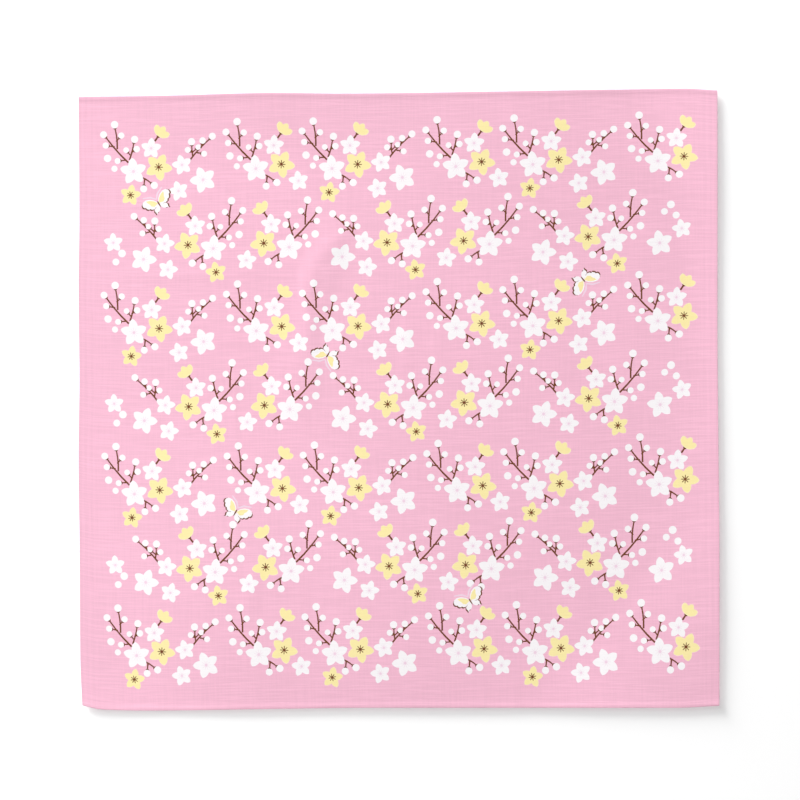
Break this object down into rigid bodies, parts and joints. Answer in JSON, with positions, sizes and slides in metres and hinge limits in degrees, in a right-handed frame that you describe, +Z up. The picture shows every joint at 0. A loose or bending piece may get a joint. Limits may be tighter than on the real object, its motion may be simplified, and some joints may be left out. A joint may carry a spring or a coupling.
{
  "type": "furoshiki wrapping cloth, laid out flat",
  "caption": "Nearly square cotton wrapping cloth laid out flat, its right and bottom edges standing a little off the surface, for wrapping and carrying things.",
  "frame": {"origin": "middle of the area that the cloth covers, on the surface that it lies on", "axes": "+X from the left selvedge to the right one, +Y from the bottom edge to the top one, +Z up, out of the printed side"},
  "size_m": [0.5016, 0.4868, 0.0041],
  "materials": {
    "printed_cotton": "matt plain weave with fine slubs, printed on one side"
  },
  "bodies": {
    "root": {"cloth": "printed_cotton"}
  },
  "joints": []
}
